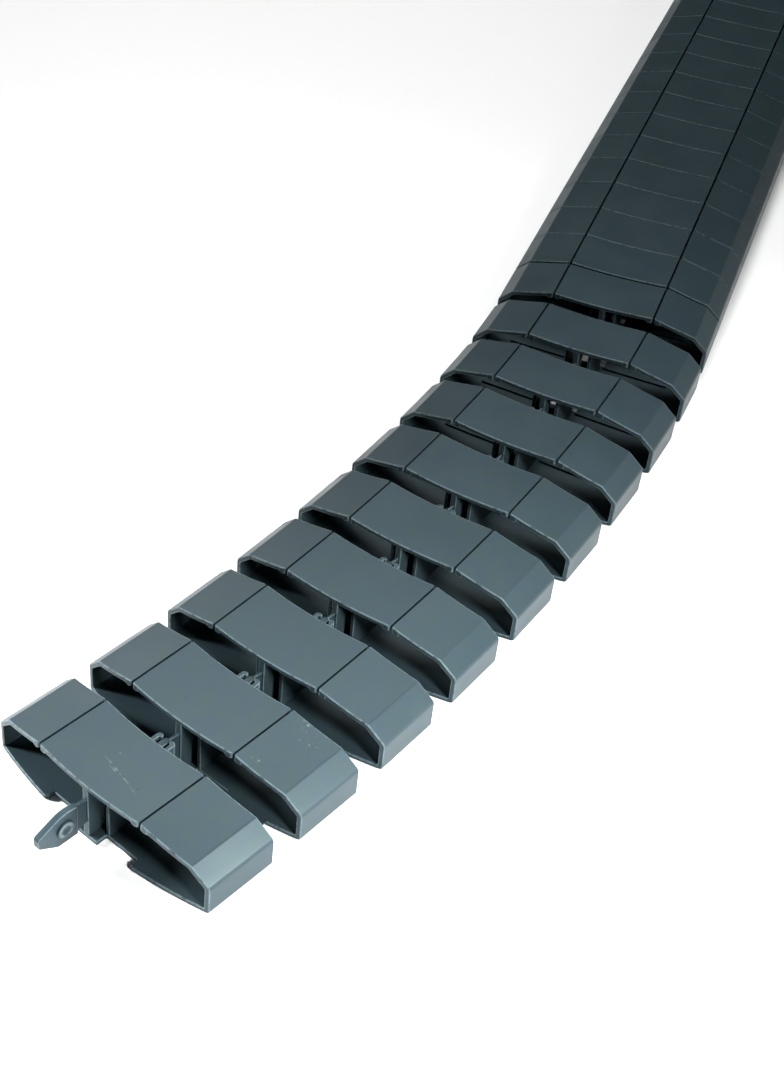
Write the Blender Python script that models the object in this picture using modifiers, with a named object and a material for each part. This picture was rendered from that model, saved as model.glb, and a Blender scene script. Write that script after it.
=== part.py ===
# Flexible cable cover: a chain of identical moulded plastic links that lies on the floor.
# Each link is a short two-chamber duct with two slits along its top for pressing cables in.
# A tongue with a round boss slides and turns between two ears of the link in front of it.
# Metres, +Z up. A link's own frame: X across, Y towards its rear, Z up from the floor,
# with Y = 0 at the front ends of the two slits.

import math

import bmesh
import bpy
from mathutils import Matrix, Vector

MM = 0.001

# Outer shape
HEIGHT = 20.3 * MM
SLIT_X = 18.75 * MM
SLIT_WIDTH = 0.9 * MM
SHOULDER_X = 34.6 * MM
SHOULDER_DROP = 5.2 * MM
HALF_WIDTH = 40.0 * MM
SIDE_DROP = 10.7 * MM
LENGTH = 23.0 * MM
RIM_RADIUS = 155.0 * MM

# Walls, running gaps and travel
WALL = 1.5 * MM
CLEARANCE = 0.3 * MM
PULL_OUT = 9.3 * MM
MAX_YAW = math.radians(5.0)

# Centre web, tongue and boss
BLADE = 2.0 * MM
WEB_SETBACK = 0.1 * MM
WEB_DEPTH = 5.8 * MM
TIP_GAP = 1.3 * MM
TONGUE_ROOT_TOP = 14.9 * MM
TONGUE_CREST = 16.1 * MM
TONGUE_TIP_TOP = 12.6 * MM
TONGUE_TIP_BOTTOM = 9.3 * MM
TONGUE_BELLY = 5.3 * MM
TONGUE_BELLY_REACH = 11.0 * MM
TONGUE_ROOT_BOTTOM = 6.4 * MM
BOSS_REACH = 8.8 * MM
BOSS_HEIGHT = 10.7 * MM
BOSS_RADIUS = 2.3 * MM
BOSS_OVER_LIP = 0.35 * MM

# The channel's walls and the ears at their rear ends
FORK_WALL = 1.2 * MM
FORK_START = 2.6 * MM
FORK_STOP = 1.5 * MM
EAR_WALL = 1.2 * MM
EAR_LIP = 1.3 * MM
EAR_LOW = 5.3 * MM
EAR_TOP = 16.3 * MM
EAR_ROOT = 3.8 * MM

# Front edge of the floor sheet, set back between the outer flaps and the middle tab
FLAP_LEFT = 16.5 * MM
FLAP_RIGHT = 15.2 * MM
TAB_HALF = 4.0 * MM
RECESS = 3.6 * MM

# The lie of the chain from its near end: how far each link is pulled out, and its turn
LINKS = 30
PULLED_OUT = [9.2, 9.2, 9.2, 9.0, 8.9, 9.3, 8.7, 8.7, 8.1, 1.0]
TURNS = [1.35, 2.4, 2.05, 2.1, 2.2, 2.0, 2.65, 3.65, 3.5, 0.0]

# Facets
PLATE_COLUMNS = 6
WING_COLUMNS = 1
FLOOR_COLUMNS = 4
ARC_STEPS = 2
BOSS_SIDES = 12

PLASTIC = (0.045, 0.062, 0.075, 1.0)

# Values that follow from the sizes above
PITCH = LENGTH + CLEARANCE
TONGUE_REACH = PITCH - WEB_SETBACK - WEB_DEPTH - TIP_GAP
BLADE_HALF = BLADE / 2
BOSS_OUT = PITCH + PULL_OUT - BOSS_REACH
LIP_START = BOSS_OUT + BOSS_RADIUS + CLEARANCE
EAR_END = LIP_START + EAR_LIP
LIP_HALF = BLADE_HALF + (EAR_END - BOSS_OUT) * math.sin(MAX_YAW) + CLEARANCE / 3
BOSS_HALF = LIP_HALF + BOSS_OVER_LIP
SOCKET_HALF = BOSS_HALF + CLEARANCE
EAR_OUTER = SOCKET_HALF + EAR_WALL
FORK_INNER = EAR_OUTER + CLEARANCE
FORK_OUTER = FORK_INNER + FORK_WALL


def rim_y(x):
    """Where the bowed front rim lies, at a distance x from the middle."""
    return (x * x - SLIT_X * SLIT_X) / (2 * RIM_RADIUS)


RIM_NOSE = rim_y(0.0)
FORK_END = RIM_NOSE + LENGTH - FORK_STOP


def clear_scene():
    for obj in list(bpy.data.objects):
        bpy.data.objects.remove(obj, do_unlink=True)


def new_collection(name):
    collection = bpy.data.collections.new(name)
    bpy.context.scene.collection.children.link(collection)
    return collection


def plastic_material():
    material = bpy.data.materials.new("grey_plastic")
    material.use_nodes = True
    shader = material.node_tree.nodes["Principled BSDF"]
    shader.inputs["Base Color"].default_value = PLASTIC
    shader.inputs["Roughness"].default_value = 0.55
    shader.inputs["Metallic"].default_value = 0.0
    return material


def add_mesh_object(name, mesh, collection):
    obj = bpy.data.objects.new(name, mesh)
    collection.objects.link(obj)
    return obj


def evaluated_mesh(obj):
    bpy.context.view_layer.update()
    depsgraph = bpy.context.evaluated_depsgraph_get()
    return bpy.data.meshes.new_from_object(obj.evaluated_get(depsgraph))


# The duct's walls

def subdivided(outline, counts):
    """Splits each span of an outline into equal columns."""
    points = [outline[0]]
    for (x0, z0), (x1, z1), count in zip(outline, outline[1:], counts):
        for step in range(1, count + 1):
            part = step / count
            points.append((x0 + (x1 - x0) * part, z0 + (z1 - z0) * part))
    return points


def face_outwards(bm):
    """Turns an open strip's faces away from the middle of the duct."""
    middle = Vector((0.0, LENGTH / 2, HEIGHT / 2))
    bm.normal_update()
    outward = sum((f.calc_center_median() - middle).dot(f.normal) for f in bm.faces)
    if outward < 0:
        bmesh.ops.reverse_faces(bm, faces=bm.faces)


def bowed_strip(name, outline, collection):
    """A skin that runs back from the bowed front rim, thickened inwards by the wall."""
    bm = bmesh.new()
    row = [bm.verts.new((x, rim_y(x), z)) for x, z in outline]
    edges = [bm.edges.new(pair) for pair in zip(row, row[1:])]
    swept = bmesh.ops.extrude_edge_only(bm, edges=edges)
    ends = [v for v in swept["geom"] if isinstance(v, bmesh.types.BMVert)]
    bmesh.ops.translate(bm, verts=ends, vec=(0.0, LENGTH, 0.0))
    face_outwards(bm)
    mesh = bpy.data.meshes.new(name)
    bm.to_mesh(mesh)
    bm.free()
    obj = add_mesh_object(name, mesh, collection)
    skin = obj.modifiers.new("wall", "SOLIDIFY")
    skin.thickness = WALL
    skin.offset = -1.0
    skin.use_even_offset = True
    return obj


def duct_shell(collection):
    """Both wings, shoulders and sides and the floor sheet, as one strip round the duct."""
    half = [
        (SLIT_X + SLIT_WIDTH / 2, HEIGHT),
        (SHOULDER_X, HEIGHT - SHOULDER_DROP),
        (HALF_WIDTH, HEIGHT - SIDE_DROP),
        (HALF_WIDTH, 0.0),
    ]
    mirrored = [(-x, z) for x, z in reversed(half)]
    counts = [WING_COLUMNS, 1, 1, FLOOR_COLUMNS, 1, 1, WING_COLUMNS]
    return bowed_strip("shell", subdivided(half + mirrored, counts), collection)


def centre_plate(collection):
    """The flat strip between the two slits."""
    edge = SLIT_X - SLIT_WIDTH / 2
    return bowed_strip("plate", subdivided([(-edge, HEIGHT), (edge, HEIGHT)], [PLATE_COLUMNS]), collection)


# Flat outlines made into plates

def rounded(corners):
    """An outline with arcs: each corner is (u, v, radius), and a radius of 0 stays sharp."""
    points = []
    count = len(corners)
    for i, (u, v, radius) in enumerate(corners):
        here = Vector((u, v))
        if radius == 0:
            points.append(here)
            continue
        back = (Vector(corners[i - 1][:2]) - here).normalized()
        ahead = (Vector(corners[(i + 1) % count][:2]) - here).normalized()
        half_angle = back.angle(ahead) / 2
        reach = radius / math.tan(half_angle)
        centre = here + (back + ahead).normalized() * radius / math.sin(half_angle)
        start = here + back * reach - centre
        sweep = start.angle_signed(here + ahead * reach - centre)
        for step in range(ARC_STEPS + 1):
            turned = Matrix.Rotation(-sweep * step / ARC_STEPS, 2) @ start
            points.append(centre + turned)
    return points


def outline_plate(name, points, thickness, matrix, collection):
    """A filled flat outline with a thickness, placed by a matrix and made a closed mesh."""
    curve = bpy.data.curves.new(name, "CURVE")
    curve.dimensions = "2D"
    curve.fill_mode = "BOTH"
    curve.extrude = thickness / 2
    spline = curve.splines.new("POLY")
    spline.points.add(len(points) - 1)
    for target, point in zip(spline.points, points):
        target.co = (point[0], point[1], 0.0, 1.0)
    spline.use_cyclic_u = True
    source = add_mesh_object(name, curve, collection)
    mesh = evaluated_mesh(source)
    bpy.data.objects.remove(source, do_unlink=True)
    bm = bmesh.new()
    bm.from_mesh(mesh)
    bmesh.ops.remove_doubles(bm, verts=bm.verts, dist=0.01 * MM)
    bmesh.ops.transform(bm, matrix=matrix, verts=bm.verts)
    bmesh.ops.recalc_face_normals(bm, faces=bm.faces)
    bm.to_mesh(mesh)
    bm.free()
    return add_mesh_object(name, mesh, collection)


def upright_plate(name, points, x_low, x_high, collection):
    """A plate that stands along the link: its outline is in (y, z) and its thickness runs across."""
    matrix = Matrix(((0, 0, 1, (x_low + x_high) / 2), (1, 0, 0, 0), (0, 1, 0, 0), (0, 0, 0, 1)))
    return outline_plate(name, points, x_high - x_low, matrix, collection)


def web_and_tongue(collection):
    """The blade under the middle of the plate, with the tongue that reaches into the next socket."""
    front = RIM_NOSE + WEB_SETBACK
    back = front + WEB_DEPTH
    tip = RIM_NOSE - TONGUE_REACH
    inside_plate = HEIGHT - WALL / 2
    inside_floor = WALL / 2
    corners = [
        (back, inside_floor, 0),
        (back, inside_plate, 0),
        (front, inside_plate, 0),
        (front, TONGUE_ROOT_TOP, 1.2 * MM),
        (-BOSS_REACH, TONGUE_CREST, 9.0 * MM),
        (tip, TONGUE_TIP_TOP, 1.3 * MM),
        (tip, TONGUE_TIP_BOTTOM, 1.3 * MM),
        (-TONGUE_BELLY_REACH, TONGUE_BELLY, 3.0 * MM),
        (-BOSS_REACH / 2, TONGUE_BELLY, 1.2 * MM),
        (front, TONGUE_ROOT_BOTTOM, 0),
        (front, inside_floor, 0),
    ]
    return upright_plate("web", rounded(corners), -BLADE_HALF, BLADE_HALF, collection)


def boss(collection):
    """The round boss on both faces of the tongue."""
    turn = Matrix.Rotation(math.pi / 2, 4, "Y")
    place = Matrix.Translation((0, -BOSS_REACH, BOSS_HEIGHT)) @ turn
    bm = bmesh.new()
    bmesh.ops.create_cone(bm, cap_ends=True, segments=BOSS_SIDES, radius1=BOSS_RADIUS, radius2=BOSS_RADIUS,
                          depth=2 * BOSS_HALF, matrix=place)
    mesh = bpy.data.meshes.new("boss")
    bm.to_mesh(mesh)
    bm.free()
    return add_mesh_object("boss", mesh, collection)


def fork_wall(side, collection):
    """One of the two walls that stand beside the tongue's channel."""
    low, high = WALL / 2, HEIGHT - WALL / 2
    points = [(FORK_START, low), (FORK_END, low), (FORK_END, high), (FORK_START, high)]
    left, right = sorted((side * FORK_INNER, side * FORK_OUTER))
    return upright_plate("fork", points, left, right, collection)


def ear(side, collection):
    """The rear end of a fork wall: it steps in and ends in a lip that holds the boss."""
    root = FORK_END - EAR_ROOT
    inside_wall = (FORK_INNER + FORK_OUTER) / 2
    nose = EAR_LIP / 2
    corners = [
        (inside_wall, root, 0),
        (inside_wall, FORK_END - CLEARANCE, 0),
        (EAR_OUTER, FORK_END + EAR_WALL, 0),
        (EAR_OUTER, EAR_END, 1.8 * nose),
        (LIP_HALF, EAR_END, 0.6 * nose),
        (LIP_HALF, LIP_START, 0),
        (SOCKET_HALF, LIP_START, 0),
        (SOCKET_HALF, root + EAR_WALL, 0),
    ]
    points = [(side * point[0], point[1]) for point in rounded(corners)]
    lift = Matrix.Translation((0, 0, (EAR_LOW + EAR_TOP) / 2))
    return outline_plate("ear", points, EAR_TOP - EAR_LOW, lift, collection)


def recess_cutter(flap_x, collection):
    """Sets the front edge of the floor sheet back from the middle tab to an outer flap."""
    depth = 2 * RECESS
    tab_x = math.copysign(TAB_HALF, flap_x)
    bm = bmesh.new()
    bmesh.ops.create_cube(bm, size=1.0)
    bmesh.ops.scale(bm, vec=(abs(flap_x - tab_x), depth, 4 * WALL), verts=bm.verts)
    mesh = bpy.data.meshes.new("recess")
    bm.to_mesh(mesh)
    bm.free()
    obj = add_mesh_object("recess", mesh, collection)
    obj.location = ((flap_x + tab_x) / 2, RIM_NOSE + RECESS - depth / 2, 0)
    return obj


def combine(base, others, operation):
    for other in others:
        step = base.modifiers.new(operation.lower(), "BOOLEAN")
        step.operation = operation
        step.solver = "EXACT"
        step.object = other


def link_mesh(cutters):
    """The whole link as one closed mesh in its own frame."""
    base = duct_shell(cutters)
    recesses = [recess_cutter(flap_x, cutters) for flap_x in (-FLAP_LEFT, FLAP_RIGHT)]
    combine(base, recesses, "DIFFERENCE")
    pieces = [web_and_tongue(cutters), centre_plate(cutters), boss(cutters)]
    for side in (-1, 1):
        pieces += [fork_wall(side, cutters), ear(side, cutters)]
    combine(base, pieces, "UNION")
    mesh = evaluated_mesh(base)
    for obj in [base] + recesses + pieces:
        obj.hide_render = True
        obj.display_type = "WIRE"
    mesh.name = "link"
    return mesh


# The chain as it lies

def chain_places():
    """Place and heading of each link; a turn between two links is about the boss in its socket."""
    joints = LINKS - 1
    pulls = [p * MM for p in PULLED_OUT] + [0.0] * (joints - len(PULLED_OUT))
    turns = [math.radians(t) for t in TURNS] + [0.0] * (joints - len(TURNS))
    heading = -sum(turns)
    place = Vector((0.0, 0.0))
    places = [(place.copy(), heading)]
    for pull, turn in zip(pulls, turns):
        place += Matrix.Rotation(heading, 2) @ Vector((0.0, PITCH + pull - BOSS_REACH))
        heading += turn
        place += Matrix.Rotation(heading, 2) @ Vector((0.0, BOSS_REACH))
        places.append((place.copy(), heading))
    return places


def main():
    clear_scene()
    cover = new_collection("flexible_cable_cover")
    cutters = new_collection("cutters")
    mesh = link_mesh(cutters)
    mesh.materials.clear()
    mesh.materials.append(plastic_material())
    carrier = bpy.data.objects.new("cover_origin", None)
    cover.objects.link(carrier)
    corners = []
    for number, (place, heading) in enumerate(chain_places(), start=1):
        link = add_mesh_object(f"link_{number:02d}", mesh, cover)
        link.parent = carrier
        link.location = (place.x, place.y, 0.0)
        link.rotation_euler = (0.0, 0.0, heading)
        turn = Matrix.Rotation(heading, 2)
        corners += [place + turn @ v.co.xy for v in mesh.vertices]
    middle_x = (min(c.x for c in corners) + max(c.x for c in corners)) / 2
    middle_y = (min(c.y for c in corners) + max(c.y for c in corners)) / 2
    carrier.location = (-middle_x, -middle_y, 0.0)
    bpy.context.view_layer.update()


main()
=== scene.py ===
import math

import bmesh
import bpy
from mathutils import Matrix, Vector


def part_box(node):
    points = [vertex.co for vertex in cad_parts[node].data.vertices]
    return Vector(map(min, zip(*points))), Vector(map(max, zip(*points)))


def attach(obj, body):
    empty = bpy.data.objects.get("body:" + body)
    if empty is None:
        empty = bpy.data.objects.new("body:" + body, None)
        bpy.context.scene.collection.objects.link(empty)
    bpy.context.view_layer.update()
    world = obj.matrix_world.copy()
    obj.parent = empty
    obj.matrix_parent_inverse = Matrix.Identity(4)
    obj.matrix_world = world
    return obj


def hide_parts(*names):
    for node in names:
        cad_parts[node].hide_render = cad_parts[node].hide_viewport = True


# Looks of the flexible cable cover: thirty finely shaped plastic links, each in place of its
# plain solid, on a pale floor. A link is built once in millimetres in its own frame (X across,
# Y to its rear, Z up, Y = 0 at the front ends of the slits) and set down thirty times.

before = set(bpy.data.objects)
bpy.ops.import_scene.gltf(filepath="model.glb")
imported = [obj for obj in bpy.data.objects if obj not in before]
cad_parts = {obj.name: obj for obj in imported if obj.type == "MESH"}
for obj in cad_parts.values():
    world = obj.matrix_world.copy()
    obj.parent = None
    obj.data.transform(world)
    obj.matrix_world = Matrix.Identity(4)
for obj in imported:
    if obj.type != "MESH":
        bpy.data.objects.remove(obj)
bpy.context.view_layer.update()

MM = 0.001

# Outer shape of a link, as in the solids
HEIGHT = 20.3
SLIT_X = 18.75
SLIT_WIDTH = 0.7
SHOULDER = (34.6, 15.1)
SIDE_TOP = (40.0, 9.6)
LENGTH = 23.0
RIM_RADIUS = 155.0
WALL = 1.5
CLEARANCE = 0.3

# Rounding of the moulded edges: the slits' upright corners get all of CORNER_ROUND, the rims and
# the slits' long edges a share of it
CORNER_ROUND = 0.5
RIM_SHARE = 0.7
SLIT_SHARE = 0.24
SHOULDER_ROUND = 1.6
SIDE_ROUND = 2.2
FOOT_ROUND = 0.9
INSIDE_ROUND = 1.0
INSIDE_FOOT_ROUND = 0.5

# How finely the wall is split: columns across each stretch, and steps round a corner
WING_COLUMNS = 8
SHOULDER_COLUMNS = 3
SIDE_COLUMNS = 4
FLOOR_COLUMNS = 32
PLATE_COLUMNS = 16
WALL_STEPS = 4
ARC_STEPS = 6

# Edges sharper than this angle in degrees are rounded, in this many strips
EDGE_ANGLE = 40
STRIPS = 3
FEW_STRIPS = 2

# The beads that stiffen the slits' edges from below, split at these distances from the edge
BEAD_DEPTH = 0.8
BEAD_MIDDLE = 1.0
BEAD_HALF = 1.35
BEAD_COLUMNS = [0.7, 1.0, 1.3, 1.7, 2.1, 2.35]
BEAD_MARGIN = 0.5

# Centre web, tongue and boss
BLADE_HALF = 1.0
BLADE_ROUND = 0.2
WEB_FRONT = 0.1
WEB_DEPTH = 5.8
WEB_ROUND = 0.25
NECK_HALF = 0.36
HEAD_BACK = -4.4
TONGUE_REACH = 16.1
TONGUE_ROOT_TOP = 14.9
TONGUE_CREST = 16.1
TONGUE_TIP_TOP = 12.6
TONGUE_TIP_BOTTOM = 9.3
TONGUE_BELLY = 5.3
TONGUE_BELLY_REACH = 11.0
TONGUE_ROOT_BOTTOM = 6.4
CREST_ROUND = 9.0
TIP_ROUND = 1.3
BELLY_ROUND = 3.0
BELLY_BACK_ROUND = 1.2
BOSS_REACH = 8.8
BOSS_HEIGHT = 10.8
BOSS_RADIUS = 2.6
BOSS_HALF = 1.79
BOSS_ROUND = 0.25
BOSS_SIDES = 40
DISH_DEPTH = 0.35
DISH_FLOOR_SHARE, DISH_RIM_SHARE = 0.35, 0.55
WELD = 0.0001

# The channel's walls and their rear ears
FORK_INNER, FORK_OUTER = 3.59, 4.79
FORK_START = 2.6
FORK_END = 20.366
FORK_ROUND = 0.2
EAR_WALL = 1.2
EAR_LOW, EAR_TOP = 5.3, 16.3
EAR_ROOT = 3.8
SOCKET_HALF, EAR_OUTER = 2.09, 3.29
LIP_HALF = 1.44
LIP_START, EAR_END = 26.4, 27.7
# roundings of the ear's outline, from its root round its end to its socket
EAR_ROOT_ROUND, EAR_BEND_ROUND, EAR_END_ROUND = 0.5, 0.7, 1.17
LIP_END_ROUND, LIP_BACK_ROUND, SOCKET_ROUND = 0.6, 0.3, 0.32
EAR_ROUND = 0.18
EAR_EDGE_ANGLE = 60

# Front edge of the floor sheet, set back between the outer flaps and the middle tab
FLAP_LEFT = 16.5
FLAP_RIGHT = 15.2
FLAP_CHAMFER = 0.9
TAB_HALF = 4.0
RECESS = 3.6

# Two thin tails carry the floor sheet back over the next link's own, so that the ground stays
# hidden: near the link they are the sheet's rear lip, beyond it dark sheets laid over the ground
# between the links as painted shade. On the last link they are shorter and stay inside the solids' box.
TAIL_INNER, TAIL_OUTER = 6.0, 30.0
TAIL_REACH = 13.0
LAST_TAIL_REACH = 5.6
TAIL_LOW, TAIL_TOP = 1.6, 2.15
TAIL_FOOT = 1.2
TAIL_ROOT = 2.0

# Shading: edges sharper than this stay sharp. A strip as narrow as a rim's rounding is made lighter,
# as wear and as a painted highlight, and this grows with its turn, in degrees.
SHARP_ANGLE = 38.0
WORN_HIGHLIGHT_WIDTH = (0.09, 0.4)
WORN_HIGHLIGHT_TURN = (33.0, 44.0)

# Plastic: its colours in linear light
GREENISH = (0.0192, 0.0318, 0.0344, 1.0)
BLUISH = (0.0189, 0.0302, 0.0387, 1.0)
PALER = (0.0290, 0.0460, 0.0545, 1.0)
# the rounded edges' lighter colour: partly wear, partly a painted highlight along the rims
RUBBED_AND_HIGHLIT = (0.0950, 0.1350, 0.1470, 1.0)
SCUFFED = (0.130, 0.150, 0.155, 1.0)
PITTED = (0.004, 0.005, 0.006, 1.0)
GLOSS_TINT = (0.78, 0.97, 1.0)

# Its gloss and its relief, which is in metres
ROUGHNESS = 0.38
ROUGHNESS_SPREAD = 0.03
SHINE = 0.125
BUMP_HEIGHT = 0.000016

# Fineness of its patterns, in waves per millimetre
GRAIN = 4.0
HUES = 0.22
CLOUDS = 0.06
SWELLS = 0.09
WEAR_HIGHLIGHT_GAPS = 0.7
SCRATCH_GAPS = 0.9
SMEARS = 1.1
BENDS = 0.25

# The noise values between which each pattern goes from nothing to its full strength
GRAIN_RANGE = (0.4, 0.62)
HUE_RANGE = (0.35, 0.65)
CLOUD_RANGE = (0.3, 0.7)
WEAR_HIGHLIGHT_RANGE = (0.2, 0.55)
SCRATCH_RANGE = (0.42, 0.62)
SMEAR_RANGE = (0.6, 0.72)

# How much of a dot's or a spot's radius is at full strength
DOT_CORE = 0.6
SPOT_CORE = 0.4

# How strongly each of them shows in the colour, in the roughness and in the relief
CLOUD_SHARE = 0.12
GRAIN_SHARE = 0.2
# the next share sets how strongly the lighter edges show: partly wear, partly a painted highlight
WORN_HIGHLIGHT_SHARE = 0.75
MARK_SHARE = 0.75
PIT_SHARE = 0.85
MARK_ROUGHNESS = 0.2
WORN_HIGHLIGHT_GLOSS = 0.05
GRAIN_RELIEF = 0.1
PIT_RELIEF = 1.5
MARK_RELIEF = 0.3

# Pits all over: how far apart their cells are and how large they get
PIT_SPACING = 8.0
PIT_RADIUS = 0.3

# Where each scratch on the first link's plate starts, its turn in degrees and its length
SCRATCHES = [(-4.5, 9.4, -12.0, 17.0), (-3.5, 12.2, 14.0, 4.5), (-1.0, 8.0, -9.0, 5.0)]
SCRATCH_SHARE = 0.6
SCRATCH_EDGE = (0.05, 0.3)
SCRATCH_FADE = 1.0
SCRATCH_BELOW = (-0.5, -0.1)
WANDER = 1.2

# Where the scuffs on the second link's right wing are, and how far they reach
SCUFFS = [(27.0, 22.5, 17.7, 6.0), (29.3, 18.5, 16.9, 4.0), (22.6, 4.0, 19.3, 2.5)]
FLECK_SPACING = 1.9
FLECK_RADIUS = 0.42
SMEAR_SHARE = 0.35

# How the chain lies, from its near end: how far each connection is pulled out and turned
LINKS = 30
PITCH = LENGTH + CLEARANCE
PULLED_OUT = [9.2, 9.2, 9.2, 9.0, 8.9, 9.3, 8.7, 8.7, 8.1, 1.0]
TURNS = [1.35, 2.4, 2.05, 2.1, 2.2, 2.0, 2.65, 3.65, 3.5, 0.0]


def rim_y(x):
    """Where the bowed front rim lies, at a distance x from the middle."""
    return (x * x - SLIT_X * SLIT_X) / (2 * RIM_RADIUS)


RIM_NOSE = rim_y(0.0)


# Outlines

def arc_corner(before, corner, after, radius, steps):
    """The points that round one corner of an outline."""
    here = Vector(corner)
    back = (Vector(before) - here).normalized()
    ahead = (Vector(after) - here).normalized()
    half_angle = back.angle(ahead) / 2
    reach = radius / math.tan(half_angle)
    centre = here + (back + ahead).normalized() * radius / math.sin(half_angle)
    start = here + back * reach - centre
    sweep = start.angle_signed(here + ahead * reach - centre)
    return [centre + Matrix.Rotation(-sweep * step / steps, 2) @ start for step in range(steps + 1)]


def rounded_outline(corners):
    """A closed outline whose corners are (u, v, radius); a radius of 0 stays sharp."""
    points = []
    count = len(corners)
    for i, (u, v, radius) in enumerate(corners):
        if radius == 0:
            points.append(Vector((u, v)))
            continue
        before, after = corners[i - 1][:2], corners[(i + 1) % count][:2]
        points += arc_corner(before, (u, v), after, radius, ARC_STEPS)
    return points


def rounded_path(corners, radii, columns, steps):
    """An open path with rounded corners, its straight runs split into equal columns."""
    runs = [[Vector(corners[0])]]
    for i in range(1, len(corners) - 1):
        runs.append(arc_corner(corners[i - 1], corners[i], corners[i + 1], radii[i - 1], steps))
    runs.append([Vector(corners[-1])])
    path = list(runs[0])
    for run, count in zip(runs[1:], columns):
        start = path[-1]
        path += [start.lerp(run[0], step / count) for step in range(1, count)]
        path += run
    return path


def inset_corners(corners, depth):
    """Corners of the path that runs inside an open outline, at the wall's depth."""
    sides = []
    for a, b in zip(corners, corners[1:]):
        along = (Vector(b) - Vector(a)).normalized()
        inward = Vector((along.y, -along.x)) * depth
        sides.append((Vector(a) + inward, along))
    inside = [sides[0][0]]
    for (p, u), (q, w) in zip(sides, sides[1:]):
        gap = q - p
        across = u.x * w.y - u.y * w.x
        inside.append(p + u * (gap.x * w.y - gap.y * w.x) / across)
    last, along = sides[-1]
    inside.append(last + along * (Vector(corners[-1]) - Vector(corners[-2])).length)
    return inside


# Meshes

def new_object(name, bm):
    """An object in the scene whose mesh is what was built, its faces turned outwards."""
    bmesh.ops.recalc_face_normals(bm, faces=bm.faces)
    mesh = bpy.data.meshes.new(name)
    bm.to_mesh(mesh)
    bm.free()
    obj = bpy.data.objects.new(name, mesh)
    bpy.context.scene.collection.objects.link(obj)
    return obj


def apply_modifiers(obj):
    depsgraph = bpy.context.evaluated_depsgraph_get()
    mesh = bpy.data.meshes.new_from_object(obj.evaluated_get(depsgraph))
    obj.modifiers.clear()
    obj.data = mesh
    return obj


def bevelled(obj, width, strips=STRIPS, angle=EDGE_ANGLE, share=None):
    """Rounds every edge that is sharper than an angle in degrees; share(edge) may narrow it."""
    if share:
        bm = bmesh.new()
        bm.from_mesh(obj.data)
        weight = bm.edges.layers.float.new("bevel_weight_edge")
        for edge in bm.edges:
            sharp = edge.calc_face_angle(0.0) > math.radians(angle)
            edge[weight] = share(edge) if sharp else 0.0
        bm.to_mesh(obj.data)
        bm.free()
    step = obj.modifiers.new("round", "BEVEL")
    step.width = width
    step.segments = strips
    step.limit_method = "WEIGHT" if share else "ANGLE"
    step.angle_limit = math.radians(angle)
    step.use_clamp_overlap = False
    step.miter_outer = "MITER_ARC"
    return apply_modifiers(obj)


def wall_share(edge):
    """How much of the corner rounding an edge of the shell or the plate gets."""
    along = (edge.verts[0].co - edge.verts[1].co).normalized()
    middle = (edge.verts[0].co + edge.verts[1].co) / 2
    at_slit = abs(abs(middle.x) - SLIT_X) < SLIT_WIDTH and middle.z > HEIGHT / 2
    if at_slit and abs(along.z) > abs(along.y):
        return 1.0
    return SLIT_SHARE if at_slit and abs(along.y) > abs(along.x) else RIM_SHARE


def combined(base, others, operation):
    """Joins the other solids to the first or cuts them from it, and uses them up."""
    for other in others:
        step = base.modifiers.new("join", "BOOLEAN")
        step.operation = operation
        step.solver = "MANIFOLD"
        step.object = other
    apply_modifiers(base)
    for other in others:
        bpy.data.objects.remove(other, do_unlink=True)
    return base


def wall_strip(name, outer, inner):
    """A wall between two paths across the link, from the bowed front rim to the rear edge."""
    bm = bmesh.new()
    rings = []
    for path in (outer, inner):
        for back in (0.0, LENGTH):
            rings.append([bm.verts.new((p.x, rim_y(p.x) + back, p.y)) for p in path])
    outer_front, outer_rear, inner_front, inner_rear = rings
    for i in range(len(outer) - 1):
        for a, b in ((outer_front, outer_rear), (outer_rear, inner_rear),
                     (inner_rear, inner_front), (inner_front, outer_front)):
            bm.faces.new((a[i], a[i + 1], b[i + 1], b[i]))
    for end in (0, -1):
        bm.faces.new((outer_front[end], outer_rear[end], inner_rear[end], inner_front[end]))
    return new_object(name, bm)


def bead_depth(distance):
    """How far the bead hangs below the wall, at a distance from the slit's edge."""
    share = (distance - BEAD_MIDDLE) / BEAD_HALF
    return BEAD_DEPTH * math.sqrt(max(0.0, 1.0 - share * share))


def shell():
    """Both wings, shoulders and sides and the floor sheet, as one wall round the duct."""
    edge = SLIT_X + SLIT_WIDTH / 2
    half = [(edge, HEIGHT), SHOULDER, SIDE_TOP, (SIDE_TOP[0], 0.0)]
    corners = half + [(-x, z) for x, z in reversed(half)]
    outer_radii = [SHOULDER_ROUND, SIDE_ROUND, FOOT_ROUND]
    inner_radii = [INSIDE_ROUND, INSIDE_ROUND, INSIDE_FOOT_ROUND]
    down = [WING_COLUMNS, SHOULDER_COLUMNS, SIDE_COLUMNS]
    columns = down + [FLOOR_COLUMNS] + down[::-1]
    outer = rounded_path(corners, outer_radii + outer_radii[::-1], columns, WALL_STEPS)
    inner = rounded_path(inset_corners(corners, WALL), inner_radii + inner_radii[::-1], columns, WALL_STEPS)
    slope = Vector(SHOULDER) - Vector(half[0])
    drop = slope.y / slope.x
    beads_end = edge + BEAD_COLUMNS[-1] + BEAD_MARGIN
    ends = []
    for distance in [0.0] + BEAD_COLUMNS:
        top = Vector((edge + distance, HEIGHT + distance * drop))
        wall = WALL / math.cos(math.atan(drop))
        ends.append((top, top - Vector((0.0, wall + bead_depth(distance)))))
    between = [p for p in zip(outer, inner) if beads_end < abs(p[0].x) or p[0].y < SHOULDER[1]]
    mirror = [(Vector((-a.x, a.y)), Vector((-b.x, b.y))) for a, b in reversed(ends)]
    pairs = ends + between + mirror
    body = wall_strip("shell", [p[0] for p in pairs], [p[1] for p in pairs])
    return combined(body, [recess_cutter(flap_x) for flap_x in (-FLAP_LEFT, FLAP_RIGHT)], "DIFFERENCE")


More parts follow.
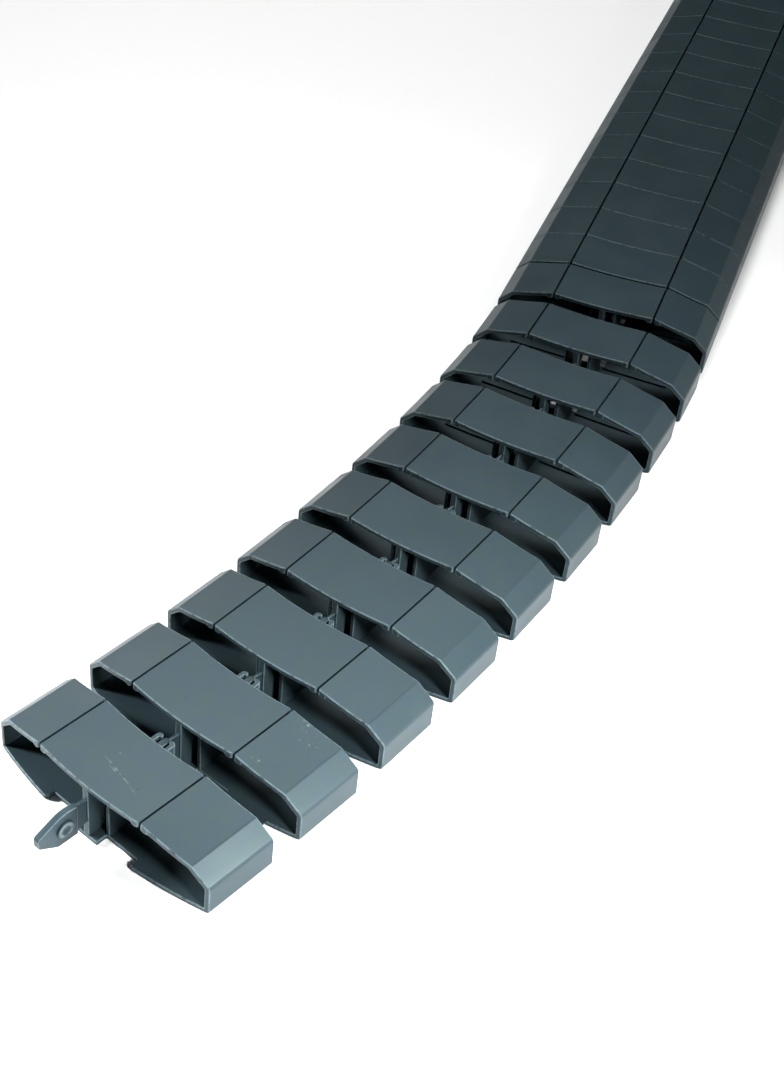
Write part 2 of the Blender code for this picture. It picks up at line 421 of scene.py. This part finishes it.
def recess_cutter(flap_x):
    """Sets the floor sheet's front edge back from the middle tab to a flap with a cut corner."""
    tab_x = math.copysign(TAB_HALF, flap_x)
    cut_x = flap_x + math.copysign(FLAP_CHAMFER, flap_x)
    ahead = RIM_NOSE - RECESS
    back = RIM_NOSE + RECESS
    front = rim_y(flap_x)
    points = [(tab_x, ahead), (tab_x, back), (flap_x, back), (flap_x, front + FLAP_CHAMFER),
              (cut_x, front), (cut_x, ahead)]
    return slab("recess", points, 4 * WALL, Matrix.Identity(4))


def floor_tail_shade_sheet(side, reach):
    """A thin sheet on the floor's rear edge, which slides over the next link's floor: a short rear lip, and
    beyond it a dark sheet over the ground as painted shade.
    """
    root = LENGTH + RIM_NOSE - TAIL_ROOT
    foot = root + TAIL_FOOT
    tip = LENGTH + RIM_NOSE + reach
    points = [(root, WALL / 2), (foot, WALL / 2), (foot, TAIL_LOW),
              (tip, TAIL_LOW), (tip, TAIL_TOP), (root, TAIL_TOP)]
    left, right = sorted((side * TAIL_INNER, side * TAIL_OUTER))
    return upright("tail", points, left, right)


def plate():
    """The flat strip between the slits, with a bead along each of its edges."""
    edge = SLIT_X - SLIT_WIDTH / 2
    half = [(edge - d, WALL + bead_depth(d)) for d in [0.0] + BEAD_COLUMNS]
    inside = edge - BEAD_COLUMNS[-1]
    between = [(inside - 2 * inside * step / PLATE_COLUMNS, WALL) for step in range(1, PLATE_COLUMNS)]
    whole = half + between + [(-x, depth) for x, depth in reversed(half)]
    outer = [Vector((x, HEIGHT)) for x, _ in whole]
    inner = [Vector((x, HEIGHT - depth)) for x, depth in whole]
    return wall_strip("plate", outer, inner)


def slab(name, points, thickness, matrix):
    """A flat outline with a thickness, its middle plane at Z = 0 before it is placed."""
    bm = bmesh.new()
    rows = [[bm.verts.new((p[0], p[1], z)) for p in points] for z in (-thickness / 2, thickness / 2)]
    bm.faces.new(rows[0])
    bm.faces.new(rows[1])
    count = len(points)
    for i in range(count):
        j = (i + 1) % count
        bm.faces.new((rows[0][i], rows[0][j], rows[1][j], rows[1][i]))
    bmesh.ops.transform(bm, matrix=matrix, verts=bm.verts)
    return new_object(name, bm)


def upright(name, points, x_low, x_high):
    """A slab that stands along the link: its outline is in (y, z)."""
    matrix = Matrix(((0, 0, 1, (x_low + x_high) / 2), (1, 0, 0, 0), (0, 1, 0, 0), (0, 0, 0, 1)))
    return slab(name, points, x_high - x_low, matrix)


def web():
    """The upright sheet in the middle of the link, from its floor to its plate."""
    front = RIM_NOSE + WEB_FRONT
    back = front + WEB_DEPTH
    points = [(back, WALL / 2), (back, HEIGHT - WALL / 2), (front, HEIGHT - WALL / 2), (front, WALL / 2)]
    return bevelled(upright("web", points, -BLADE_HALF, BLADE_HALF), WEB_ROUND)


def tongue():
    """The blade that reaches forward from the web: a head on a thinner neck."""
    front = RIM_NOSE + WEB_FRONT
    root = front + BLADE_HALF
    tip = RIM_NOSE - TONGUE_REACH
    corners = [
        (root, TONGUE_ROOT_TOP, 0),
        (front, TONGUE_ROOT_TOP, 0),
        (-BOSS_REACH, TONGUE_CREST, CREST_ROUND),
        (tip, TONGUE_TIP_TOP, TIP_ROUND),
        (tip, TONGUE_TIP_BOTTOM, TIP_ROUND),
        (-TONGUE_BELLY_REACH, TONGUE_BELLY, BELLY_ROUND),
        (-BOSS_REACH / 2, TONGUE_BELLY, BELLY_BACK_ROUND),
        (front, TONGUE_ROOT_BOTTOM, 0),
        (root, TONGUE_ROOT_BOTTOM, 0),
    ]
    blade = upright("tongue", rounded_outline(corners), -BLADE_HALF, BLADE_HALF)
    combined(blade, [neck_cutter(side) for side in (-1, 1)], "DIFFERENCE")
    return bevelled(blade, BLADE_ROUND)


def neck_cutter(side):
    """Thins the blade from behind its head into the web."""
    near, far = sorted((side * NECK_HALF, side * 2 * BLADE_HALF))
    points = [(near, HEAD_BACK), (far, HEAD_BACK), (far, HEIGHT), (near, HEIGHT)]
    return slab("neck", points, 2 * HEIGHT, Matrix.Identity(4))


def turned(name, profile, sides, matrix):
    """A round solid: its profile is (radius, height) from its lower to its upper middle."""
    bm = bmesh.new()
    row = [bm.verts.new((radius, 0.0, height)) for radius, height in profile]
    edges = [bm.edges.new(pair) for pair in zip(row, row[1:])]
    bmesh.ops.spin(bm, geom=row + edges, cent=(0, 0, 0), axis=(0, 0, 1), angle=2 * math.pi, steps=sides)
    bmesh.ops.remove_doubles(bm, verts=bm.verts, dist=WELD)
    bmesh.ops.transform(bm, matrix=matrix, verts=bm.verts)
    return new_object(name, bm)


def boss():
    """The round boss on both faces of the tongue, with a rounded rim and a dished middle."""
    floor = BOSS_HALF - DISH_DEPTH
    half = [(0.0, floor), (BOSS_RADIUS * DISH_FLOOR_SHARE, floor), (BOSS_RADIUS * DISH_RIM_SHARE, BOSS_HALF)]
    for step in range(ARC_STEPS + 1):
        turn = math.pi / 2 * step / ARC_STEPS
        radius = BOSS_RADIUS - BOSS_ROUND + BOSS_ROUND * math.sin(turn)
        half.append((radius, BOSS_HALF - BOSS_ROUND + BOSS_ROUND * math.cos(turn)))
    profile = [(radius, -height) for radius, height in half] + half[::-1]
    place = Matrix.Translation((0, -BOSS_REACH, BOSS_HEIGHT)) @ Matrix.Rotation(math.pi / 2, 4, "Y")
    return turned("boss", profile, BOSS_SIDES, place)


def fork_wall(side):
    """One of the two walls that stand beside the tongue's channel."""
    low, high = WALL / 2, HEIGHT - WALL / 2
    points = [(FORK_START, low), (FORK_END, low), (FORK_END, high), (FORK_START, high)]
    left, right = sorted((side * FORK_INNER, side * FORK_OUTER))
    return bevelled(upright("fork", points, left, right), FORK_ROUND, FEW_STRIPS)


def ear(side):
    """The rear end of a fork wall: it steps in and ends in a rounded lip that holds the boss."""
    root = FORK_END - EAR_ROOT
    inside_wall = (FORK_INNER + FORK_OUTER) / 2
    corners = [
        (inside_wall, root, 0),
        (inside_wall, FORK_END - CLEARANCE, EAR_ROOT_ROUND),
        (EAR_OUTER, FORK_END + EAR_WALL, EAR_BEND_ROUND),
        (EAR_OUTER, EAR_END, EAR_END_ROUND),
        (LIP_HALF, EAR_END, LIP_END_ROUND),
        (LIP_HALF, LIP_START, LIP_BACK_ROUND),
        (SOCKET_HALF, LIP_START, SOCKET_ROUND),
        (SOCKET_HALF, root + EAR_WALL, 0),
    ]
    points = [(side * p[0], p[1]) for p in rounded_outline(corners)]
    lift = Matrix.Translation((0, 0, (EAR_LOW + EAR_TOP) / 2))
    blank = slab("ear", points, EAR_TOP - EAR_LOW, lift)
    return bevelled(blank, EAR_ROUND, FEW_STRIPS, EAR_EDGE_ANGLE)


def mark_worn_highlit_edges(mesh):
    """Keeps on each face how far it is part of a rounded outer edge, for the plastic's lighter edges, which
    are partly wear and partly a painted highlight.
    """
    bm = bmesh.new()
    bm.from_mesh(mesh)
    wear_and_highlight = bm.faces.layers.float.new("edge_wear_and_highlight")
    low, high = (math.radians(turn) for turn in WORN_HIGHLIGHT_TURN)
    narrowest, widest = WORN_HIGHLIGHT_WIDTH
    for face in bm.faces:
        width = face.calc_area() / max(edge.calc_length() for edge in face.edges)
        turns = sorted(edge.calc_face_angle_signed(0.0) for edge in face.edges)[-2:]
        if narrowest < width < widest:
            face[wear_and_highlight] = min(1.0, max(0.0, (sum(turns) - low) / (high - low)))
    bm.to_mesh(mesh)
    bm.free()


def split_concave(mesh):
    """Splits each face that has an inside corner, such as a tail's stepped side."""
    bm = bmesh.new()
    bm.from_mesh(mesh)
    bmesh.ops.connect_verts_concave(bm, faces=bm.faces)
    bm.to_mesh(mesh)
    bm.free()


def smoothed(obj):
    """Smooth shading across the roundings, with flat faces left flat."""
    for face in obj.data.polygons:
        face.use_smooth = True
    obj.data.set_sharp_from_angle(angle=math.radians(SHARP_ANGLE))
    step = obj.modifiers.new("normals", "WEIGHTED_NORMAL")
    step.keep_sharp = True
    return apply_modifiers(obj)


def link_mesh(tail_reach):
    """The whole fine link as one closed mesh, in millimetres in its own frame."""
    base = bevelled(shell(), CORNER_ROUND, share=wall_share)
    parts = [bevelled(plate(), CORNER_ROUND, share=wall_share), web(), tongue(), boss()]
    for side in (-1, 1):
        # the tails are partly the floor's rear lip and partly dark sheets over the ground as painted shade
        parts += [fork_wall(side), ear(side), floor_tail_shade_sheet(side, tail_reach)]
    combined(base, parts, "UNION")
    mark_worn_highlit_edges(base.data)
    split_concave(base.data)
    mesh = smoothed(base).data
    mesh.transform(Matrix.Scale(MM, 4))
    bpy.data.objects.remove(base, do_unlink=True)
    return mesh


# The chain

def chain_places():
    """Place and heading of each link, in millimetres from the near end."""
    joints = LINKS - 1
    pulls = PULLED_OUT + [0.0] * (joints - len(PULLED_OUT))
    turns = [math.radians(t) for t in TURNS] + [0.0] * (joints - len(TURNS))
    heading = -sum(turns)
    place = Vector((0.0, 0.0))
    places = [(place.copy(), heading)]
    for pull, turn in zip(pulls, turns):
        place += Matrix.Rotation(heading, 2) @ Vector((0.0, PITCH + pull - BOSS_REACH))
        heading += turn
        place += Matrix.Rotation(heading, 2) @ Vector((0.0, BOSS_REACH))
        places.append((place.copy(), heading))
    return places


def chain_shift(places):
    """From the chain's own frame to the row's, read from where the last link's solid lies."""
    low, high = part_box(f"link_{LINKS:02d}")
    there = Vector(((low.x + high.x) / 2, low.y - (RIM_NOSE - TONGUE_REACH) * MM))
    return there - places[-1][0] * MM


# Material

def node(tree, kind, sockets, **settings):
    """A shader node with its settings, and each socket given a value or another node's output."""
    made = tree.nodes.new("ShaderNode" + kind)
    for key, value in settings.items():
        setattr(made, key, value)
    for key, value in sockets.items():
        if isinstance(value, bpy.types.NodeSocket):
            tree.links.new(value, made.inputs[key])
        else:
            made.inputs[key].default_value = value
    return made


def calc(tree, operation, a, b=0.0):
    """One step of arithmetic on numbers or other nodes' outputs."""
    return node(tree, "Math", {0: a, 1: b}, operation=operation).outputs[0]


def product(tree, *factors):
    result = factors[0]
    for factor in factors[1:]:
        result = calc(tree, "MULTIPLY", result, factor)
    return result


def strongest(tree, masks):
    result = masks[0]
    for mask in masks[1:]:
        result = calc(tree, "MAXIMUM", result, mask)
    return result


def eased(tree, value, low, high, start=0.0, end=1.0):
    """Goes smoothly from start to end while the value goes from low to high."""
    sockets = {"Value": value, "From Min": low, "From Max": high, "To Min": start, "To Max": end}
    return node(tree, "MapRange", sockets, interpolation_type="SMOOTHSTEP").outputs["Result"]


def noise(tree, place, scale, detail=2.0):
    return node(tree, "TexNoise", {"Vector": place, "Scale": scale, "Detail": detail}).outputs["Fac"]


def blended(tree, share, under, over):
    mix = node(tree, "Mix", {0: share, 6: under, 7: over}, data_type="RGBA")
    return mix.outputs[2]


def dots(tree, place, spacing, radius):
    """Sparse round dots, where the cells' middles happen to lie near the surface."""
    cells = node(tree, "TexVoronoi", {"Vector": place, "Scale": 1 / spacing})
    return eased(tree, cells.outputs["Distance"], DOT_CORE * radius / spacing, radius / spacing, 1.0, 0.0)


def near_spot(tree, place, spot, reach):
    """A mask that fades out with the distance from a spot."""
    away = node(tree, "VectorMath", {0: place, 1: spot}, operation="DISTANCE").outputs["Value"]
    return eased(tree, away, SPOT_CORE * reach, reach, 1.0, 0.0)


def scratch(tree, place, start, angle, length):
    """A thin line from a start, in millimetres on top of the chain; its wander comes with the place."""
    sockets = {"Vector": place, "Location": start, "Rotation": (0.0, 0.0, angle)}
    local = node(tree, "Mapping", sockets, vector_type="TEXTURE").outputs["Vector"]
    part = node(tree, "SeparateXYZ", {"Vector": local})
    along, across, up = (part.outputs[axis] for axis in "XYZ")
    line = eased(tree, calc(tree, "ABSOLUTE", across), *SCRATCH_EDGE, 1.0, 0.0)
    start_fade = eased(tree, along, 0.0, SCRATCH_FADE)
    end_fade = eased(tree, along, length - SCRATCH_FADE, length, 1.0, 0.0)
    ends = product(tree, start_fade, end_fade)
    return product(tree, line, ends, eased(tree, up, *SCRATCH_BELOW))


def on_link(places, shift, number, x, y, z):
    """A spot on a link as it lies at rest, in millimetres in the row's frame."""
    place, heading = places[number - 1]
    spot = place + shift / MM + Matrix.Rotation(heading, 2) @ Vector((x, y))
    return (spot.x, spot.y, z)


def marks(tree, place, places, shift):
    """The scratches on the first link's plate and the scuffs on the second link's right wing."""
    heading = places[0][1]
    sideways = product(tree, noise(tree, place, BENDS), WANDER)
    wander = node(tree, "CombineXYZ", {"X": sideways}).outputs["Vector"]
    bent = node(tree, "VectorMath", {0: place, 1: wander}, operation="ADD").outputs["Vector"]
    lines = []
    for x, y, turn, length in SCRATCHES:
        start = on_link(places, shift, 1, x, y, HEIGHT)
        start = (start[0] + WANDER / 2, *start[1:])
        lines.append(scratch(tree, bent, start, heading + math.radians(turn), length))
    spots = []
    for x, y, z, reach in SCUFFS:
        spots.append(near_spot(tree, place, on_link(places, shift, 2, x, y, z), reach))
    broken = eased(tree, noise(tree, place, SCRATCH_GAPS), *SCRATCH_RANGE)
    smear = eased(tree, noise(tree, place, SMEARS, 3.0), *SMEAR_RANGE, 0.0, SMEAR_SHARE)
    flecks = calc(tree, "MAXIMUM", dots(tree, place, FLECK_SPACING, FLECK_RADIUS), smear)
    scratched = product(tree, strongest(tree, lines), broken, SCRATCH_SHARE)
    return calc(tree, "MAXIMUM", scratched, product(tree, strongest(tree, spots), flecks))


def cover_plastic(places, shift):
    """Satin moulded plastic: fine grain, soft clouds of colour, lighter edges that are partly wear and
    partly a painted highlight, small marks.
    """
    material = bpy.data.materials.new("cover_plastic")
    material.use_nodes = True
    tree = material.node_tree
    shader = tree.nodes["Principled BSDF"]
    metres = node(tree, "TexCoord", {}).outputs["Object"]
    place = node(tree, "VectorMath", {0: metres, "Scale": 1 / MM}, operation="SCALE").outputs["Vector"]
    grain = noise(tree, place, GRAIN)
    clouds = noise(tree, place, CLOUDS, 1.0)
    hue = noise(tree, place, HUES, 1.0)
    edge = node(tree, "Attribute", {}, attribute_name="edge_wear_and_highlight").outputs["Fac"]
    # mask of the lighter rounded edges: partly wear, partly a painted highlight
    worn_and_highlit = product(tree, edge, eased(tree, noise(tree, place, WEAR_HIGHLIGHT_GAPS, 1.0), *WEAR_HIGHLIGHT_RANGE))
    mark = marks(tree, place, places, shift)
    pits = dots(tree, place, PIT_SPACING, PIT_RADIUS)

    base = blended(tree, eased(tree, hue, *HUE_RANGE), GREENISH, BLUISH)
    base = blended(tree, eased(tree, clouds, *CLOUD_RANGE, 0.0, CLOUD_SHARE), base, PALER)
    base = blended(tree, eased(tree, grain, *GRAIN_RANGE, 0.0, GRAIN_SHARE), base, PALER)
    # lighter rounded edges: wear together with a painted highlight along the rims
    base = blended(tree, product(tree, worn_and_highlit, WORN_HIGHLIGHT_SHARE), base, RUBBED_AND_HIGHLIT)
    base = blended(tree, product(tree, mark, MARK_SHARE), base, SCUFFED)
    base = blended(tree, product(tree, pits, PIT_SHARE), base, PITTED)
    tree.links.new(base, shader.inputs["Base Color"])

    smoothest, roughest = ROUGHNESS - ROUGHNESS_SPREAD, ROUGHNESS + ROUGHNESS_SPREAD
    rough = eased(tree, clouds, *CLOUD_RANGE, smoothest, roughest)
    rough = calc(tree, "ADD", rough, product(tree, mark, MARK_ROUGHNESS))
    rough = calc(tree, "SUBTRACT", rough, product(tree, worn_and_highlit, WORN_HIGHLIGHT_GLOSS))
    tree.links.new(rough, shader.inputs["Roughness"])

    height = calc(tree, "ADD", noise(tree, place, SWELLS, 1.0), product(tree, grain, GRAIN_RELIEF))
    height = calc(tree, "SUBTRACT", height, product(tree, pits, PIT_RELIEF))
    height = calc(tree, "SUBTRACT", height, product(tree, mark, MARK_RELIEF))
    bump = node(tree, "Bump", {"Height": height, "Strength": 1.0, "Distance": BUMP_HEIGHT})
    tree.links.new(bump.outputs["Normal"], shader.inputs["Normal"])
    shader.inputs["Specular Tint"].default_value = (*GLOSS_TINT, 1.0)
    shader.inputs["Specular IOR Level"].default_value = SHINE
    return material


def add_links(material, places, shift):
    """Sets the fine link down once for each solid, and lets it ride on that solid."""
    mesh = link_mesh(TAIL_REACH)
    last_mesh = link_mesh(LAST_TAIL_REACH)
    for number, (place, heading) in enumerate(places, start=1):
        name = f"link_{number:02d}"
        data = (last_mesh if number == LINKS else mesh).copy()
        spot = place * MM + shift
        data.transform(Matrix.Translation((spot.x, spot.y, 0.0)) @ Matrix.Rotation(heading, 4, "Z"))
        data.materials.clear()
        data.materials.append(material)
        link = bpy.data.objects.new(f"cover_{name}", data)
        bpy.context.scene.collection.objects.link(link)
        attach(link, name)
        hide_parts(name)


# Floor, light and camera, in metres

FLOOR_HALF = 6.0
FLOOR_WHITE = 0.93
FLOOR_GLOW = 0.02
FLOOR_ROUGHNESS = 0.9
FLOOR_SHINE = 0.1
WHITE = (1.0, 1.0, 1.0, 1.0)
NEAR_LINKS = (-0.04, -0.42, 0.0)
# name, place, aim, cone in degrees, radius and power
SPOTS = [
    ("spot_right_near", (0.7, -0.75, 0.55), (0.13, -0.36, 0.0), 26, 0.1, 108.0),
    ("spot_right", (0.95, -0.35, 0.35), (0.08, -0.42, 0.0), 26, 0.1, 112.0),
    ("spot_right_middle", (0.8, -0.3, 0.6), (0.16, -0.2, 0.0), 26, 0.1, 27.0),
    ("spot_left_floor", (-0.95, -0.45, 0.4), (-0.12, -0.46, 0.0), 24, 0.1, 209.8),
    ("spot_back_left", (-1.0, 0.75, 0.6), (-0.04, -0.25, 0.0), 40, 0.25, 18.0),
    ("spot_wing", (0.45, 0.45, 1.5), NEAR_LINKS, 36, 0.3, 62.0),
    ("spot_top", (-0.62, 0.88, 1.44), NEAR_LINKS, 34, 0.35, 15.8),
]
# name, place, aim, size and power
SOFTBOXES = [
    ("softbox_far", (-0.3, 0.45, 1.3), (-0.15, 0.2, 0.0), (0.8, 0.5), 15.5),
    ("softbox_right_back", (1.0, 0.5, 0.45), (0.0, -0.2, 0.0), (0.5, 0.5), 1.6),
]
# where the camera stands, its directions, and its lens in millimetres
CAMERA_PLACE = (0.10836, -0.64595, 0.35659)
CAMERA_AHEAD = (-0.20041, 0.74372, -0.63774)
CAMERA_RIGHT = (0.94025, 0.3289, 0.08809)
CAMERA_LENS = 59.13
CAMERA_SENSOR = 36.0
CAMERA_NEAREST = 0.02


def add_floor():
    """A large pale floor, which also glows faintly so that it stays white."""
    bm = bmesh.new()
    bmesh.ops.create_grid(bm, x_segments=1, y_segments=1, size=FLOOR_HALF)
    floor = new_object("floor", bm)
    material = bpy.data.materials.new("floor")
    material.use_nodes = True
    shader = material.node_tree.nodes["Principled BSDF"]
    shader.inputs["Base Color"].default_value = (*[FLOOR_WHITE] * 3, 1.0)
    shader.inputs["Emission Color"].default_value = WHITE
    shader.inputs["Emission Strength"].default_value = FLOOR_GLOW
    shader.inputs["Roughness"].default_value = FLOOR_ROUGHNESS
    shader.inputs["Specular IOR Level"].default_value = FLOOR_SHINE
    floor.data.materials.append(material)


def add_lamp(name, kind, place, aim, power):
    """A white lamp that points at its aim and isn't seen itself."""
    light = bpy.data.lights.new(name, kind)
    light.energy = power
    lamp = bpy.data.objects.new(name, light)
    lamp.location = place
    lamp.rotation_euler = (Vector(aim) - Vector(place)).to_track_quat("-Z", "Y").to_euler()
    lamp.visible_camera = False
    bpy.context.scene.collection.objects.link(lamp)
    return light


def add_softbox(name, place, aim, size, power):
    light = add_lamp(name, "AREA", place, aim, power)
    light.shape = "RECTANGLE"
    light.size, light.size_y = size


def add_spot(name, place, aim, cone, radius, power):
    light = add_lamp(name, "SPOT", place, aim, power)
    light.spot_size = math.radians(cone)
    light.spot_blend = 1.0
    light.shadow_soft_size = radius


def add_dark_world():
    """A world without light of its own: all of it comes from the lamps."""
    world = bpy.data.worlds.new("world")
    world.use_nodes = True
    background = world.node_tree.nodes["Background"]
    background.inputs["Color"].default_value = WHITE
    background.inputs["Strength"].default_value = 0.0
    bpy.context.scene.world = world


def add_camera():
    """The photograph's viewing angle, fitted to the links' corners."""
    ahead = Vector(CAMERA_AHEAD).normalized()
    right = Vector(CAMERA_RIGHT)
    right = (right - ahead * right.dot(ahead)).normalized()
    up = right.cross(ahead)
    camera = bpy.data.objects.new("camera", bpy.data.cameras.new("camera"))
    camera.data.sensor_width = CAMERA_SENSOR
    camera.data.lens = CAMERA_LENS
    camera.data.clip_start = CAMERA_NEAREST
    rotation = Matrix((right, up, -ahead)).transposed().to_4x4()
    camera.matrix_world = Matrix.Translation(Vector(CAMERA_PLACE)) @ rotation
    bpy.context.scene.collection.objects.link(camera)
    bpy.context.scene.camera = camera


add_camera()
add_floor()
for spot in SPOTS:
    add_spot(*spot)
for softbox in SOFTBOXES:
    add_softbox(*softbox)
add_dark_world()
bpy.context.scene.view_settings.view_transform = "Standard"
chain = chain_places()
chain_at = chain_shift(chain)
add_links(cover_plastic(chain, chain_at), chain, chain_at)
